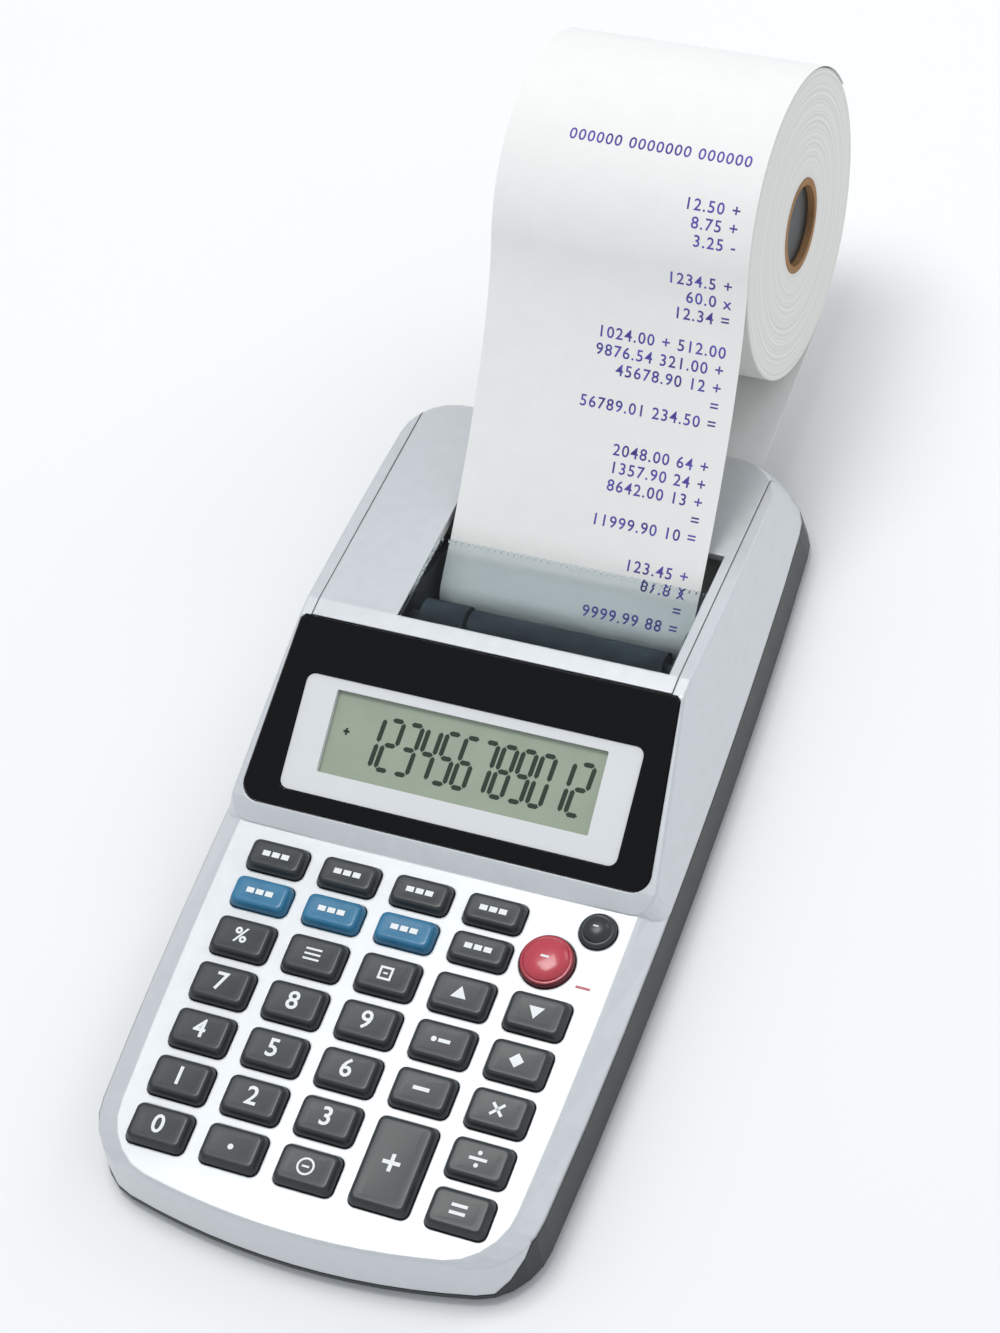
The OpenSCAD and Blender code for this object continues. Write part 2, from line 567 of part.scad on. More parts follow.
// The drive gear has a tooth on each centre line, and its mates have a gap there
turn_feed = idler_deg + 180 / teeth_feed;
drum_gap = (drum_deg - turn_feed) * teeth_feed / 360;
turn_drum = drum_deg + 180 + 180 / teeth_drum + (drum_gap - round(drum_gap)) * 360 / teeth_drum;
module drive_gear() {
    color([0.90, 0.90, 0.86]) translate([0, idler_at[0], idler_at[1]])
        gear(teeth_idler, idler_deg, shaft_r + run_gap);
}
module motor_pinion() {
    color([0.80, 0.68, 0.35]) translate([0, motor_at[0], motor_at[1]]) {
        gear(teeth_pinion, idler_deg + 180 + 180 / teeth_pinion, 0);
        bar(gear_x0 + 1, plate_x0 + plate_t + 1.6, 0.8);
    }
}
motor_x0 = plate_x0 + plate_t + 0.2;
module motor() {
    color([0.72, 0.73, 0.74]) translate([0, motor_at[0], motor_at[1]]) difference() {
        union() {
            bar(motor_x0, motor_x0 + 19, 6);
            bar(motor_x0 + 19, motor_x0 + 20.4, 2.5);
        }
        bar(motor_x0 - 1, motor_x0 + 4, 0.8 + run_gap);
    }
}
module print_drum() {
    wheels = 14;
    x0 = paper_x0 + 0.4;
    pitch = (paper_w - 1) / wheels;
    color([0.22, 0.23, 0.24]) translate([0, drum_at[0], drum_at[1]]) {
        bar(gear_x0 - 1, plate_x1 + plate_t + 0.6, shaft_r);
        for (i = [0 : wheels - 1]) bar(x0 + pitch * i, x0 + pitch * i + pitch - 0.7, drum_r);
        bar(x0, x0 + pitch * wheels - 0.7, drum_r - 0.7);
        gear(teeth_drum, turn_drum, 0);
    }
}
module feed_roller() {
    color([0.13, 0.13, 0.13]) translate([0, feed_at[0], feed_at[1]]) {
        bar(gear_x0 - 1, plate_x1 + plate_t + 0.6, shaft_r);
        for (i = [0 : 2]) bar(paper_x0 + 1 + i * 19.4, paper_x0 + 1 + i * 19.4 + 16.4, feed_r);
        gear(teeth_feed, turn_feed, 0);
    }
}
module ink_roller() {
    color([0.10, 0.09, 0.16]) translate([0, ink_at[0], ink_at[1]]) {
        bar(plate_x0 - 0.6, plate_x1 + plate_t + 0.6, shaft_r);
        bar(paper_x0 + 1.6, paper_x0 + 11.6, ink_r);
        bar(paper_x0 + 12.4, paper_x0 + paper_w - 1, ink_r - 0.5);
    }
}

// ---- Power ----
module battery_door() {
    color([0.08, 0.09, 0.09]) {
        translate([gap - bay_x, bay_y0 + gap, foot_h])
            cube([2 * (bay_x - gap), bay_y1 - bay_y0 - 2 * gap - floor_t / 2, floor_t]);
        translate([0, door_axis[0], door_axis[1]]) bar(gap - bay_x, bay_x - gap, floor_t / 2);
    }
}
cell_z = floor_z + 0.2 + cell_d / 2;
module batteries() {
    color([0.75, 0.60, 0.20])
    for (row = [0, 1]) for (side = [0, 1]) {
        flip = (row + side) % 2 == 0 ? 1 : -1;
        translate([(side - 0.5) * (cell_l + 1.6), bay_y0 + 1.2 + cell_d / 2 + row * (cell_d + 0.6), cell_z]) {
            bar(-cell_l / 2, cell_l / 2, cell_d / 2);
            translate([flip * (cell_l / 2 + 0.3), 0, 0]) bar(-0.4, 0.4, 1.9);
        }
    }
}
module battery_contacts() {
    color([0.80, 0.80, 0.78])
    for (row = [0, 1]) for (side = [-1, 1])
        translate([side * (bay_x - 0.25), bay_y0 + 1.2 + cell_d / 2 + row * (cell_d + 0.6), cell_z]) {
            translate([-0.2, -4, -4]) cube([0.4, 8, 8]);
            rotate([0, -90 * side, 0]) cylinder(r = 1.6, h = 0.4);
        }
}
module power_jack() {
    color([0.06, 0.06, 0.06]) translate([jack_x, jack_face, jack_z]) difference() {
        union() {
            translate([-5, -11, floor_z + 0.05 - jack_z]) cube([10, 11, 9]);
            rotate([-90, 0, 0]) cylinder(r = 3.9, h = 3.4);
        }
        translate([0, 3.6, 0]) rotate([90, 0, 0]) cylinder(r = jack_r, h = 9);
    }
}
module rubber_feet() {
    color([0.15, 0.15, 0.15]) for (p = foot_places) translate([p[0], p[1], 0])
        cylinder(r = foot_r, h = foot_h + 0.3);
}
module case_screws() {
    color([0.70, 0.71, 0.72]) for (p = screw_places) translate([p[0], p[1], 0]) {
        translate([0, 0, foot_h + 0.8]) cylinder(r = 2.6, h = 1.8);
        translate([0, 0, foot_h + 2]) cylinder(r = screw_r, h = screw_top - foot_h - 2);
    }
}

// ---- Paper ----
spindle_r = core_bore_r - 0.08;
module roll_arm() {
    color([0.10, 0.11, 0.11]) {
        across(arm_x0, arm_x1, [
            [y_rear - 6, arm_z0], [y_rear + 3, arm_z0], [roll_y + 8, roll_z - 4], [roll_y + 4, roll_z + 7],
            [roll_y - 7, roll_z + 4], [y_rear + 1.2, arm_z1], [y_rear - 6, arm_z1]]);
        translate([0, roll_y, roll_z]) bar(arm_x0, arm_x1, 10.4);
        translate([0, roll_y, roll_z]) difference() {
            bar(arm_x0 + 1, roll_x1 - 1.5, spindle_r);
            bar(arm_x0, roll_x1 - 3.3, spindle_r - 1.8);
        }
    }
}
module roll_core() {
    color([0.55, 0.38, 0.22]) translate([0, roll_y, roll_z]) difference() {
        bar(paper_x0, roll_x1, core_r);
        bar(paper_x0 - 1, roll_x1 + 1, core_bore_r);
    }
}
module paper_roll() {
    color([0.95, 0.94, 0.90]) translate([0, roll_y, roll_z]) difference() {
        bar(paper_x0, roll_x1, roll_r);
        bar(paper_x0 - 1, roll_x1 + 1, core_r);
    }
}
// Centre line of the paper as [y, z]: under the roll, through the rear slot, round the feed
// roller, up through the cover and over the front and top of the roll
function bezier(a, b, c, d, t) = pow(1 - t, 3) * a + 3 * t * pow(1 - t, 2) * b + 3 * t * t * (1 - t) * c
    + pow(t, 3) * d;
function on_circle(at, r, a) = at + r * [cos(a), sin(a)];
web_r = feed_r + web_gap + paper_t / 2;
lap_r = roll_r + web_gap + paper_t / 2;
leave_deg = 120;
meet_deg = 150;
end_deg = 15;
web_low = roll_z - lap_r;
web_path =
    let (a = on_circle(feed_at, web_r, 270), b = on_circle(feed_at, web_r, leave_deg),
         c = on_circle([roll_y, roll_z], lap_r, meet_deg), n = 10,
         db = [sin(leave_deg), -cos(leave_deg)], dc = [sin(meet_deg), -cos(meet_deg)])
    concat(
        [[roll_y + 3, web_low], [y_rear - 2, web_low - 0.3]],
        [for (i = [0 : n]) bezier([y_rear - 8, web_low - 0.4], [y_rear - 30, web_low - 1], a + [16, 0], a, i / n)],
        [for (k = [1 : 9]) on_circle(feed_at, web_r, 270 - (270 - leave_deg) * k / 9)],
        [for (i = [1 : 2 * n]) bezier(b, b + 20 * db, c - 22 * dc, c, i / (2 * n))],
        [for (k = [1 : 18]) on_circle([roll_y, roll_z], lap_r, meet_deg - (meet_deg - end_deg) * k / 18)]);
// The same path moved sideways by s
function beside(path, s) = [for (i = [0 : len(path) - 1])
    let (p = path[max(0, i - 1)], q = path[min(len(path) - 1, i + 1)], d = (q - p) / norm(q - p))
    path[i] + s * [-d[1], d[0]]];
module paper_web() {
    one = beside(web_path, paper_t / 2);
    two = beside(web_path, -paper_t / 2);
    color([0.95, 0.94, 0.91])
        across(paper_x0, roll_x1, concat(one, [for (i = [len(two) - 1 : -1 : 0]) two[i]]));
}

placed() lower_case();
placed() upper_case();
placed() display_bezel();
placed() display_window();
placed() lcd_cell();
placed() key_mat();
placed() circuit_board();
placed() printer_cover();
placed() tear_window();
placed() printer_frame();
placed() print_drum();
placed() ink_roller();
placed() feed_roller();
placed() motor();
placed() motor_pinion();
placed() drive_gear();
placed() battery_door();
placed() batteries();
placed() battery_contacts();
placed() power_jack();
placed() rubber_feet();
placed() case_screws();
placed() roll_arm();
placed() roll_core();
placed() paper_roll();
placed() paper_web();
for (k = KEYS) placed() key(k);
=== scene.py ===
"""Printing desk calculator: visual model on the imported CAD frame."""
import math

import bpy
from mathutils import Euler, Matrix, Vector


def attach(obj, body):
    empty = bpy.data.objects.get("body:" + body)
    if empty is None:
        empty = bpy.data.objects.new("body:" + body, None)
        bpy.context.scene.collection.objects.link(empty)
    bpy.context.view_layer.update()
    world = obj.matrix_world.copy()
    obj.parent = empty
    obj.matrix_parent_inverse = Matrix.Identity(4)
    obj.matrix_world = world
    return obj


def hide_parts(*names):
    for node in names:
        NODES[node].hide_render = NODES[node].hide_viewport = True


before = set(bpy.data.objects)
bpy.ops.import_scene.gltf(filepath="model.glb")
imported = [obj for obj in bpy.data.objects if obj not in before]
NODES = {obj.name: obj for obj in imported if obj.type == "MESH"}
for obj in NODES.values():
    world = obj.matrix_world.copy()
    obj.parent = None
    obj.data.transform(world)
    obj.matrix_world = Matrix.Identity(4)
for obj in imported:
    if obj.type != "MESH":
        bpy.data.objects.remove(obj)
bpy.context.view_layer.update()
MM = 0.001

# ------------------------------------------------------------ materials
PATCH_SHARE = 0.07  # scale of the broad patches as a share of the grain's
GRAIN_DEPTH = 0.00008  # m


def two_colour_ramp(nodes, start, low, high):
    """Ramp between two colours, the same distance in from both ends."""
    ramp = nodes.new("ShaderNodeValToRGB")
    first, last = ramp.color_ramp.elements
    first.position = start
    last.position = 1 - start
    first.color = (*low, 1)
    last.color = (*high, 1)
    return ramp


def material(name, color, rough=0.4, metal=0.0, coat=0.0, spec=0.5, bump=0.0, scale=900.0,
             vary=0.0, edge=0.0, trans=0.0, ior=1.46, rough_vary=0.0):
    """Shader with a fine grain; vary and rough_vary are broad changes, edge is a rounding in mm."""
    m = bpy.data.materials.new(name)
    m.use_nodes = True
    nodes, links = m.node_tree.nodes, m.node_tree.links
    shader = nodes["Principled BSDF"]
    shader.inputs["Base Color"].default_value = (*color, 1)
    shader.inputs["Roughness"].default_value = rough
    shader.inputs["Metallic"].default_value = metal
    shader.inputs["Coat Weight"].default_value = coat
    shader.inputs["Coat Roughness"].default_value = 0.06
    shader.inputs["Specular IOR Level"].default_value = spec
    shader.inputs["Transmission Weight"].default_value = trans
    shader.inputs["IOR"].default_value = ior
    coords = nodes.new("ShaderNodeTexCoord")
    grain = nodes.new("ShaderNodeTexNoise")
    grain.inputs["Scale"].default_value = scale
    grain.inputs["Detail"].default_value = 4
    links.new(coords.outputs["Object"], grain.inputs["Vector"])
    if vary or rough_vary:
        patches = nodes.new("ShaderNodeTexNoise")
        patches.inputs["Scale"].default_value = scale * PATCH_SHARE
        patches.inputs["Detail"].default_value = 3
        links.new(coords.outputs["Object"], patches.inputs["Vector"])
    if vary:
        darker = [max(0, c * (1 - vary)) for c in color]
        lighter = [min(1, c * (1 + vary)) for c in color]
        ramp = two_colour_ramp(nodes, 0.3, darker, lighter)
        links.new(patches.outputs["Fac"], ramp.inputs["Fac"])
        links.new(ramp.outputs["Color"], shader.inputs["Base Color"])
    if rough_vary:
        spread = nodes.new("ShaderNodeMapRange")
        spread.inputs["To Min"].default_value = max(0.02, rough - rough_vary)
        spread.inputs["To Max"].default_value = min(1, rough + rough_vary)
        links.new(patches.outputs["Fac"], spread.inputs["Value"])
        links.new(spread.outputs["Result"], shader.inputs["Roughness"])
    normal = None
    if edge:
        bevel = nodes.new("ShaderNodeBevel")
        bevel.samples = 4
        bevel.inputs["Radius"].default_value = edge * MM
        normal = bevel.outputs["Normal"]
    if bump:
        grain_bump = nodes.new("ShaderNodeBump")
        grain_bump.inputs["Strength"].default_value = bump
        grain_bump.inputs["Distance"].default_value = GRAIN_DEPTH
        links.new(grain.outputs["Fac"], grain_bump.inputs["Height"])
        if normal:
            links.new(normal, grain_bump.inputs["Normal"])
        normal = grain_bump.outputs["Normal"]
    if normal:
        links.new(normal, shader.inputs["Normal"])
    return m


SILVER = material("silver_paint", (0.66, 0.68, 0.70), 0.34, metal=0.35, coat=0.15, bump=0.25, scale=5200,
                  vary=0.02, edge=0.5, rough_vary=0.05)
BLACK = material("black_case", (0.018, 0.022, 0.024), 0.42, bump=0.35, scale=3800, vary=0.12, edge=0.4,
                 rough_vary=0.06)
GLOSS = material("gloss_panel", (0.003, 0.003, 0.004), 0.07, spec=0.22, bump=0.03, scale=300, edge=0.3,
                 rough_vary=0.02)
WINDOW = material("window_white", (0.74, 0.75, 0.76), 0.22, coat=0.4, bump=0.05, scale=1500, vary=0.01,
                  edge=0.15)
LCD = material("lcd_glass", (0.335, 0.385, 0.295), 0.28, coat=0.3, bump=0.03, scale=2500, vary=0.03)
INK = material("lcd_segments", (0.018, 0.030, 0.018), 0.35, bump=0.02, vary=0.05)
KEY = material("key_black", (0.028, 0.033, 0.036), 0.32, coat=0.05, bump=0.20, scale=4200, vary=0.10,
               rough_vary=0.05)
KEY_BLUE = material("key_blue", (0.030, 0.175, 0.320), 0.28, coat=0.12, bump=0.20, scale=4200, vary=0.08,
                    rough_vary=0.05)
KEY_RED = material("key_red", (0.50, 0.050, 0.075), 0.24, coat=0.3, bump=0.10, scale=2600, vary=0.06)
KEY_RED_RIM = material("key_red_rim", (0.13, 0.018, 0.024), 0.30, bump=0.10, scale=2600, vary=0.06)
LEGEND = material("legend_white", (0.80, 0.82, 0.83), 0.45, bump=0.10, scale=5000, vary=0.03)
LEGEND_RED = material("legend_red", (0.55, 0.16, 0.18), 0.5, bump=0.10, scale=5000, vary=0.03)
PAPER = material("paper", (0.86, 0.855, 0.835), 0.82, bump=0.5, scale=2600, vary=0.012, spec=0.25)
PRINT = material("print_ink", (0.105, 0.085, 0.36), 0.75, bump=0.3, scale=3500, vary=0.35, spec=0.2)
CORE = material("core_board", (0.36, 0.20, 0.095), 0.85, bump=0.9, scale=1800, vary=0.18, spec=0.2)
RUBBER = material("rubber", (0.022, 0.022, 0.023), 0.72, bump=0.5, scale=2600, vary=0.15)
FRAME_BLACK = material("frame_black", (0.022, 0.024, 0.027), 0.48, bump=0.3, scale=2600, vary=0.12,
                       edge=0.2)
WHEELS = material("type_wheels", (0.10, 0.105, 0.115), 0.38, metal=0.2, bump=0.4, scale=1800, vary=0.2,
                  edge=0.1)
FELT = material("ink_felt", (0.040, 0.050, 0.062), 0.9, bump=1.0, scale=2200, vary=0.3)
STEEL = material("steel", (0.50, 0.51, 0.53), 0.30, metal=1.0, bump=0.15, scale=1600, vary=0.05,
                 edge=0.15)
BRASS = material("brass", (0.62, 0.46, 0.17), 0.28, metal=1.0, bump=0.1, scale=1600, vary=0.06)
ACETAL = material("gear_acetal", (0.72, 0.71, 0.66), 0.38, bump=0.1, scale=1600, vary=0.03)
NICKEL = material("nickel", (0.70, 0.69, 0.66), 0.18, metal=1.0, bump=0.08, scale=1600, vary=0.03)
CELL = material("cell_wrap", (0.50, 0.34, 0.07), 0.22, metal=0.6, coat=0.4, bump=0.05, scale=600, vary=0.1)
BOARD = material("board_green", (0.03, 0.16, 0.07), 0.35, coat=0.3, bump=0.3, scale=1200, vary=0.15)
SILICONE = material("silicone", (0.50, 0.50, 0.48), 0.6, bump=0.2, scale=1600, vary=0.04)
CLEAR = material("clear_plastic", (0.80, 0.86, 0.88), 0.05, trans=1.0, ior=1.18, bump=0.02, scale=400)


def vector_math(nodes, operation, second=None):
    node = nodes.new("ShaderNodeVectorMath")
    node.operation = operation
    if second:
        node.inputs[1].default_value = second
    return node


def roll_face_material():
    """Paper with the fine rings of the wound layers on its two faces."""
    m = material("paper_roll", (0.86, 0.84, 0.80), 0.85, bump=0.4, scale=2600, vary=0.012, spec=0.2)
    nodes, links = m.node_tree.nodes, m.node_tree.links
    shader = nodes["Principled BSDF"]
    coords = nodes.new("ShaderNodeTexCoord")
    from_axis = vector_math(nodes, "SUBTRACT", (0, (ROLL[0] - Y_SHIFT) * MM, ROLL[1] * MM))
    across = vector_math(nodes, "MULTIPLY", (0, 1, 1))
    radius = vector_math(nodes, "LENGTH")
    rings = nodes.new("ShaderNodeTexNoise")
    rings.noise_dimensions = "1D"
    rings.inputs["Scale"].default_value = 1500
    rings.inputs["Detail"].default_value = 3
    links.new(coords.outputs["Object"], from_axis.inputs[0])
    links.new(from_axis.outputs[0], across.inputs[0])
    links.new(across.outputs[0], radius.inputs[0])
    links.new(radius.outputs["Value"], rings.inputs["W"])
    ramp = two_colour_ramp(nodes, 0.35, (0.74, 0.725, 0.69), (0.87, 0.855, 0.815))
    links.new(rings.outputs["Fac"], ramp.inputs["Fac"])
    links.new(ramp.outputs["Color"], shader.inputs["Base Color"])
    ridges = nodes.new("ShaderNodeBump")
    ridges.inputs["Strength"].default_value = 0.35
    ridges.inputs["Distance"].default_value = 0.0001
    links.new(rings.outputs["Fac"], ridges.inputs["Height"])
    links.new(ridges.outputs["Normal"], shader.inputs["Normal"])
    return m


# ------------------------------------------------------------ sizes shared with the CAD model (mm)
Y_SHIFT = 35.25  # from the middle of the case to the origin
FRONT_ROW_Y = -83.3
DECK_Z = 14.8  # deck height at the front row
DECK_TILT = math.radians(1)
PITCH_X = 16.47
PITCH_Y = 10.94
PITCH_ROW_2 = 10.44  # row 3 to row 2
PITCH_ROW_1 = 8.93  # row 2 to row 1
KEY_W = 12.8
KEY_D = 8.6
LOW_KEY_D = 6.9
KEY_R = 1.5
PANEL_Y = -9.4
PANEL_Z = 18.7
PANEL_SLOPE = math.atan2(16.0, 38.0)
LCD_V = 9.25  # up the panel's slope
ROLL = (136.2, 54.7)
ROLL_R = 33.6
CORE_R = 10.3
PAPER_X0 = -21.6
PAPER_X1 = 35.9
FEED = (52.5, 17.8)
FEED_R = 5.0
PAPER_T = 0.2

DECK = Matrix.Translation((0, FRONT_ROW_Y * MM, DECK_Z * MM)) @ Matrix.Rotation(DECK_TILT, 4, "X")
SLOPE = Matrix.Translation((0, PANEL_Y * MM, PANEL_Z * MM)) @ Matrix.Rotation(PANEL_SLOPE, 4, "X")


def row_v(row):
    """Distance up the deck from the front row, which is row 7, to a row."""
    if row >= 3:
        return (7 - row) * PITCH_Y
    return 4 * PITCH_Y + PITCH_ROW_2 + (PITCH_ROW_1 if row == 1 else 0)


def on_deck(x, y, z):
    return DECK @ Matrix.Translation((x * MM, y * MM, z * MM))


# ------------------------------------------------------------ mesh helpers
def add(name, verts, faces, mats, place=None, smooth=False, face_mats=None):
    me = bpy.data.meshes.new(name)
    me.from_pydata([Vector(v) * MM for v in verts], [], faces)
    if place:
        me.transform(place)
    me.transform(Matrix.Translation((0, -Y_SHIFT * MM, 0)))
    for m in mats if isinstance(mats, (list, tuple)) else [mats]:
        me.materials.append(m)
    if face_mats:
        for p, i in zip(me.polygons, face_mats):
            p.material_index = i
    me.validate()
    me.update()
    if smooth:
        me.shade_smooth()
        me.set_sharp_from_angle(angle=math.radians(35))
    o = bpy.data.objects.new(name, me)
    bpy.context.scene.collection.objects.link(o)
    return o


def ring_rect(w, d, r, z, n=5):
    """Rectangle with round corners, as a ring of points at one height."""
    pts = []
    for c in range(4):
        sx = 1 if c in (0, 3) else -1
        sy = 1 if c < 2 else -1
        for k in range(n + 1):
            a = math.radians(90 * c + 90 * k / n)
            pts.append((sx * (w / 2 - r) + r * math.cos(a), sy * (d / 2 - r) + r * math.sin(a), z))
    return pts


def loft(rings, base=0):
    """Closed solid through rings of equal length; base is the number of its first vertex."""
    n = len(rings[0])
    verts = [p for r in rings for p in r]
    faces = []
    for i in range(len(rings) - 1):
        for k in range(n):
            a, b = i * n + k, i * n + (k + 1) % n
            faces.append((a + base, b + base, b + n + base, a + n + base))
    faces.append(tuple(base + k for k in reversed(range(n))))
    faces.append(tuple(base + (len(rings) - 1) * n + k for k in range(n)))
    return verts, faces


def ring_round(r, z, n=48):
    return [(r * math.cos(2 * math.pi * k / n), r * math.sin(2 * math.pi * k / n), z) for k in range(n)]


def lathe_x(name, profile, centre, mats, n=128):
    """profile: closed list of (x, r). Turned about the x line through centre (y, z)."""
    verts, faces = [], []
    m = len(profile)
    for k in range(n):
        a = 2 * math.pi * k / n
        for x, r in profile:
            verts.append((x, centre[0] + r * math.cos(a), centre[1] + r * math.sin(a)))
    for k in range(n):
        for i in range(m):
            j = (i + 1) % m
            after = (k + 1) % n * m
            faces.append((k * m + i, k * m + j, after + j, after + i))
    return add(name, verts, faces, mats, smooth=True)


def text_mesh(body, size, align_x="CENTER", space=1.0, bold=0.0):
    """Flat mesh of generic figures in the built-in font, as (verts, faces) in mm."""
    c = bpy.data.curves.new("t", "FONT")
    c.body = body
    c.size = size
    c.align_x = align_x
    c.align_y = "CENTER"
    c.space_character = space
    c.offset = bold
    c.resolution_u = 3
    o = bpy.data.objects.new("t", c)
    bpy.context.scene.collection.objects.link(o)
    bpy.context.view_layer.update()
    me = o.to_mesh()
    verts = [tuple(v.co) for v in me.vertices]
    faces = [tuple(p.vertices) for p in me.polygons]
    o.to_mesh_clear()
    bpy.data.objects.remove(o)
    bpy.data.curves.remove(c)
    return verts, faces


def flat_shapes(outlines):
    """One flat face for each outline, a list of (x, y) corners."""
    verts, faces = [], []
    for outline in outlines:
        b = len(verts)
        verts += [(x, y, 0.0) for x, y in outline]
        faces.append(tuple(range(b, b + len(outline))))
    return verts, faces


def box_xy(x0, y0, x1, y1):
    return [(x0, y0), (x1, y0), (x1, y1), (x0, y1)]


# ------------------------------------------------------------ CAD nodes that stay
KEEP = {
    "lower_case": BLACK, "upper_case": SILVER, "printer_cover": SILVER, "display_bezel": GLOSS,
    "display_window": WINDOW, "lcd_cell": LCD, "key_mat": SILICONE, "circuit_board": BOARD,
    "tear_window": CLEAR, "printer_frame": FRAME_BLACK, "print_drum": WHEELS, "ink_roller": FELT,
    "feed_roller": RUBBER, "motor": STEEL, "motor_pinion": BRASS, "drive_gear": ACETAL, "battery_door": BLACK,
    "batteries": CELL, "battery_contacts": NICKEL, "power_jack": FRAME_BLACK, "rubber_feet": RUBBER,
    "case_screws": STEEL, "roll_arm": BLACK, "roll_core": CORE,
}
for name, mat in KEEP.items():
    o = NODES[name]
    if not o.material_slots:
        o.data.materials.append(mat)
    for s in o.material_slots:
        s.material = mat

# ------------------------------------------------------------ keys
COLS = {c: (c - 3) * PITCH_X for c in range(1, 6)}
KEYS = [  # name, column, row, kind of cap, legend
    ("key_r1_c1", 1, 1, "low", "bar"), ("key_r1_c2", 2, 1, "low", "bar"),
    ("key_r1_c3", 3, 1, "low", "bar"), ("key_r1_c4", 4, 1, "low", "bar"),
    ("key_blue_1", 1, 2, "blue", "bar"), ("key_blue_2", 2, 2, "blue", "bar"),
    ("key_blue_3", 3, 2, "blue", "bar"), ("key_r2_c4", 4, 2, "low", "bar"),
    ("key_r3_c1", 1, 3, "std", "%"), ("key_r3_c2", 2, 3, "std", "bars3"),
    ("key_r3_c3", 3, 3, "std", "square"), ("key_r3_c4", 4, 3, "std", "tri_up"),
    ("key_r3_c5", 5, 3, "std", "tri_down"),
    ("key_7", 1, 4, "std", "7"), ("key_8", 2, 4, "std", "8"), ("key_9", 3, 4, "std", "9"),
    ("key_r4_c4", 4, 4, "std", "dot_bar"), ("key_total", 5, 4, "std", "diamond"),
    ("key_4", 1, 5, "std", "4"), ("key_5", 2, 5, "std", "5"), ("key_6", 3, 5, "std", "6"),
    ("key_minus", 4, 5, "std", "minus"), ("key_times", 5, 5, "std", "times"),
    ("key_1", 1, 6, "std", "1"), ("key_2", 2, 6, "std", "2"), ("key_3", 3, 6, "std", "3"),
    ("key_divide", 5, 6, "std", "divide"), ("key_0", 1, 7, "std", "0"),
    ("key_point", 2, 7, "std", "point"), ("key_sign", 3, 7, "std", "sign"),
    ("key_plus", 4, 6.5, "tall", "plus"), ("key_equals", 5, 7, "std", "equals"),
]
CAP_FOOT = -2.25  # heights are from the deck
FLANGE_LOW = -2.95
FLANGE_OUT = 0.7
PLUNGER_LOW = -3.35
PLUNGER_R = 1.8
CAP_STEPS = [(0, 0, CAP_FOOT), (0, 0, 0.6), (0.25, 0, 1.35), (0.75, 0, 1.9), (1.15, 0.2, 2.3),
             (1.7, 0.4, 2.47), (2.6, 0.6, 2.5)]  # less width, less corner radius, height
MARK_Z = 2.53
DOME_TOP = 3.05
DOME_MARK_Z = 3.07


def disc(cx, cy, r, n=20):
    return [(cx + x, cy + y) for x, y, _ in ring_round(r, 0, n)]


def legend(sym):
    """Flat mesh of a figure or a plain symbol, centred on the key."""
    if sym.isdigit() or sym == "%":
        return text_mesh(sym, 5.6 if sym.isdigit() else 4.6, bold=0.09)
    a = 0.42
    shapes = {
        "plus": [box_xy(-1.9, -a, 1.9, a), box_xy(-a, a, a, 1.9), box_xy(-a, -1.9, a, -a)],
        "minus": [box_xy(-1.8, -a, 1.8, a)],
        "equals": [box_xy(-1.7, 0.45, 1.7, 1.15), box_xy(-1.7, -1.15, 1.7, -0.45)],
        "divide": [box_xy(-1.9, -0.34, 1.9, 0.34), disc(0, 1.35, 0.48), disc(0, -1.35, 0.48)],
        "times": [[(-1.5, -1.05), (-1.05, -1.5), (1.5, 1.05), (1.05, 1.5)],
                  [(-1.5, 1.05), (1.05, -1.5), (1.5, -1.05), (-1.05, 1.5)]],
        "point": [disc(0, -0.3, 0.62)],
        "diamond": [[(-1.6, 0), (0, -1.6), (1.6, 0), (0, 1.6)]],
        "square": [box_xy(-1.5, -1.5, 1.5, -1.0), box_xy(-1.5, 1.0, 1.5, 1.5),
                   box_xy(-1.5, -1.0, -1.0, 1.0), box_xy(1.0, -1.0, 1.5, 1.0),
                   box_xy(-0.5, -0.2, 0.5, 0.2)],
        "tri_up": [[(-1.7, -1.2), (1.7, -1.2), (0, 1.5)]],
        "tri_down": [[(-1.7, 1.2), (0, -1.5), (1.7, 1.2)]],
        "bars3": [box_xy(-1.8, 0.9, 1.8, 1.35), box_xy(-1.8, -0.22, 1.8, 0.22),
                  box_xy(-1.8, -1.35, 1.8, -0.9)],
        "bar": [box_xy(-3.0, -0.6, -1.3, 0.6), box_xy(-0.85, -0.6, 0.85, 0.6),
                box_xy(1.3, -0.6, 3.0, 0.6)],
        "dot_bar": [disc(-1.5, 0, 0.6), box_xy(-0.5, -0.4, 2.1, 0.4)],
    }
    if sym == "sign":
        n = 28
        outer, inner = disc(0, 0, 1.9, n), disc(0, 0, 1.45, n)
        quads = [[outer[k], outer[(k + 1) % n], inner[(k + 1) % n], inner[k]] for k in range(n)]
        return flat_shapes(quads + [box_xy(-0.8, -0.22, 0.8, 0.22)])
    return flat_shapes(shapes[sym])


def body_of(key):
    return key.replace("key", "button", 1)


def with_foot(cap, flange):
    """A cap's mesh with the flange under the deck and the plunger below it."""
    verts, faces = cap
    plunger = [ring_round(PLUNGER_R, PLUNGER_LOW, 24), ring_round(PLUNGER_R, FLANGE_LOW, 24)]
    for rings in ([flange(FLANGE_LOW), flange(CAP_FOOT)], plunger):
        v, f = loft(rings, base=len(verts))
        verts = verts + v
        faces = faces + f
    return verts, faces


def mark(name, shape, x, y, z):
    v, f = shape
    piece = add("mark_" + name, v, f, LEGEND, on_deck(x, y, z))
    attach(piece, body_of(name))


